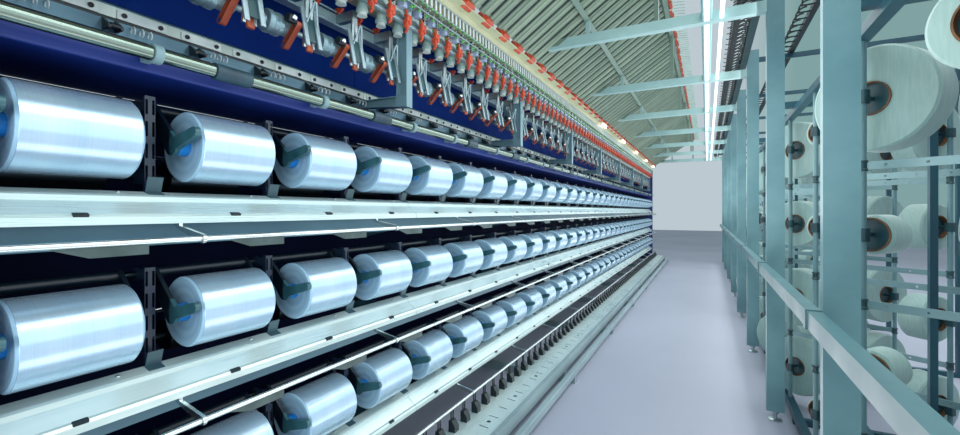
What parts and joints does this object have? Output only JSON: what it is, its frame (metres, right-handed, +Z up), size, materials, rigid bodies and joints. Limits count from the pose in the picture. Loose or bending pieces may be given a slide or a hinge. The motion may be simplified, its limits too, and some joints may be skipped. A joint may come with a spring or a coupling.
{
  "type": "yarn texturing machine",
  "caption": "Long draw texturing machine with a take-up bank of wound packages, sloping cooling plates over the operator aisle and a creel of supply packages.",
  "frame": {"origin": "Floor level, in the middle of the aisle and of the machine's length", "axes": "+Y runs along the machine, away from the viewer of the picture; +X points from the take-up bank to the creel; +Z is up"},
  "size_m": [3.8, 12.9245, 3.362],
  "materials": {
    "frame_steel": "satin",
    "dark_blue_paint": "satin",
    "blue_paint": "satin",
    "pale_blue_grey": "satin",
    "beam_teal": "satin",
    "shelf_aluminium": "brushed",
    "black_plastic": "matte",
    "black_steel": "satin",
    "bright_steel": "polished",
    "brushed_steel": "brushed",
    "yarn": "wound",
    "tube_blue": "gloss",
    "orange_plastic": "gloss",
    "apron_rubber": "matte",
    "casing_beige": "satin",
    "slat_metal": "brushed",
    "grey_green": "matte",
    "white_plastic": "matte",
    "paper": "matte",
    "post_grey": "satin",
    "lamp_cover": "satin",
    "violet_paint": "satin"
  },
  "bodies": {
    "frame": {"base_frame": "frame_steel", "section_posts": "dark_blue_paint", "end_panels": "dark_blue_paint", "back_panels": "dark_blue_paint", "slotted_tray": "shelf_aluminium", "thread_sensors": "black_plastic", "shelf_beams": "beam_teal", "shelf_panels": "shelf_aluminium", "shelf_flaps": "brushed_steel", "winding_posts": "black_steel", "cradle_rods": "bright_steel", "parked_cradles": "black_steel", "guard_bars": "bright_steel", "guard_flaps": "grey_green", "canopy_beam": "blue_paint", "suction_tube": "bright_steel", "tube_clamps": "black_plastic", "guide_profile": "shelf_aluminium", "guide_brackets": "black_plastic", "upright_brackets": "pale_blue_grey", "nip_beam": "brushed_steel", "aprons": "apron_rubber", "feed_unit_brackets": "brushed_steel", "yarn_guides": "orange_plastic", "spindle_blocks": "white_plastic", "spindle_discs": "bright_steel", "heater_casings": "casing_beige", "cooling_plates": "slat_metal", "cooling_plate_caps": "orange_plastic", "bridge_frame": "pale_blue_grey", "aisle_lamps": "lamp_cover", "creel_posts": "post_grey", "levelling_feet": "brushed_steel", "handrail": "brushed_steel", "feed_beam": "violet_paint", "feed_fingers": "black_plastic", "creel_tubes": "brushed_steel", "creel_pegs": "black_steel", "paper_tubes": "paper", "supply_packages": "yarn", "creel_guide_bars": "brushed_steel", "creel_frame": "dark_blue_paint"},
    "feed_rolls": {"feed_roll_shaft": "bright_steel"},
    "nip_rolls": {"nip_roll_shaft": "bright_steel"},
    "lower_drums": {"lower_drum_shaft": "bright_steel"},
    "lower_traverse": {"lower_traverse_rod": "bright_steel"},
    "lower_row": {"lower_package_row": "yarn"},
    "lower_lifting_cradle": {"lower_cradle": "black_steel"},
    "lower_lifting_package": {"lower_package": "yarn"},
    "middle_drums": {"middle_drum_shaft": "bright_steel"},
    "middle_traverse": {"middle_traverse_rod": "bright_steel"},
    "middle_row": {"middle_package_row": "yarn"},
    "middle_lifting_cradle": {"middle_cradle": "black_steel"},
    "middle_lifting_package": {"middle_package": "yarn"},
    "top_drums": {"top_drum_shaft": "bright_steel"},
    "top_traverse": {"top_traverse_rod": "bright_steel"},
    "top_row": {"top_package_row": "yarn"},
    "top_lifting_cradle": {"top_cradle": "black_steel"},
    "top_lifting_package": {"top_package": "yarn", "top_tube": "tube_blue"}
  },
  "joints": [
    {"name": "lower_drum_spin", "type": "hinge", "parent": "frame", "child": "lower_drums", "pos_m": [-1.58131, 0, 0.47806], "axis": [0, 1, 0], "continuous": true},
    {"name": "lower_row_spin", "type": "hinge", "parent": "frame", "child": "lower_row", "pos_m": [-1.45, 0, 0.57], "axis": [0, 1, 0], "continuous": true},
    {"name": "lower_traverse_slide", "type": "slide", "parent": "frame", "child": "lower_traverse", "axis": [0, 1, 0], "range_m": [-0.115, 0.115]},
    {"name": "lower_cradle_lift", "type": "hinge", "parent": "frame", "child": "lower_lifting_cradle", "pos_m": [-1.56, -5.8, 0.69], "axis": [0, -1, 0], "range_deg": [0, 35]},
    {"name": "lower_package_spin", "type": "hinge", "parent": "lower_lifting_cradle", "child": "lower_lifting_package", "pos_m": [-1.45, -5.8, 0.57], "axis": [0, 1, 0], "continuous": true},
    {"name": "middle_drum_spin", "type": "hinge", "parent": "frame", "child": "middle_drums", "pos_m": [-1.58131, 0, 0.99306], "axis": [0, 1, 0], "continuous": true},
    {"name": "middle_row_spin", "type": "hinge", "parent": "frame", "child": "middle_row", "pos_m": [-1.45, 0, 1.085], "axis": [0, 1, 0], "continuous": true},
    {"name": "middle_traverse_slide", "type": "slide", "parent": "frame", "child": "middle_traverse", "axis": [0, 1, 0], "range_m": [-0.115, 0.115]},
    {"name": "middle_cradle_lift", "type": "hinge", "parent": "frame", "child": "middle_lifting_cradle", "pos_m": [-1.56, -5.8, 1.205], "axis": [0, -1, 0], "range_deg": [0, 35]},
    {"name": "middle_package_spin", "type": "hinge", "parent": "middle_lifting_cradle", "child": "middle_lifting_package", "pos_m": [-1.45, -5.8, 1.085], "axis": [0, 1, 0], "continuous": true},
    {"name": "top_drum_spin", "type": "hinge", "parent": "frame", "child": "top_drums", "pos_m": [-1.58131, 0, 1.50806], "axis": [0, 1, 0], "continuous": true},
    {"name": "top_row_spin", "type": "hinge", "parent": "frame", "child": "top_row", "pos_m": [-1.45, 0, 1.6], "axis": [0, 1, 0], "continuous": true},
    {"name": "top_traverse_slide", "type": "slide", "parent": "frame", "child": "top_traverse", "axis": [0, 1, 0], "range_m": [-0.115, 0.115]},
    {"name": "top_cradle_lift", "type": "hinge", "parent": "frame", "child": "top_lifting_cradle", "pos_m": [-1.56, -5.8, 1.72], "axis": [0, -1, 0], "range_deg": [0, 35]},
    {"name": "top_package_spin", "type": "hinge", "parent": "top_lifting_cradle", "child": "top_lifting_package", "pos_m": [-1.45, -5.8, 1.6], "axis": [0, 1, 0], "continuous": true},
    {"name": "nip_roll_spin", "type": "hinge", "parent": "frame", "child": "nip_rolls", "pos_m": [-1.556, 0, 2.16], "axis": [0, 1, 0], "continuous": true},
    {"name": "feed_roll_spin", "type": "hinge", "parent": "frame", "child": "feed_rolls", "pos_m": [0.262, 0, 2.9], "axis": [0, 1, 0], "continuous": true}
  ],
  "couplings": [
    {"joint": "lower_row_spin", "follows": "lower_drum_spin", "ratio": -0.45454},
    {"joint": "middle_row_spin", "follows": "middle_drum_spin", "ratio": -0.45454},
    {"joint": "top_row_spin", "follows": "top_drum_spin", "ratio": -0.45454}
  ]
}
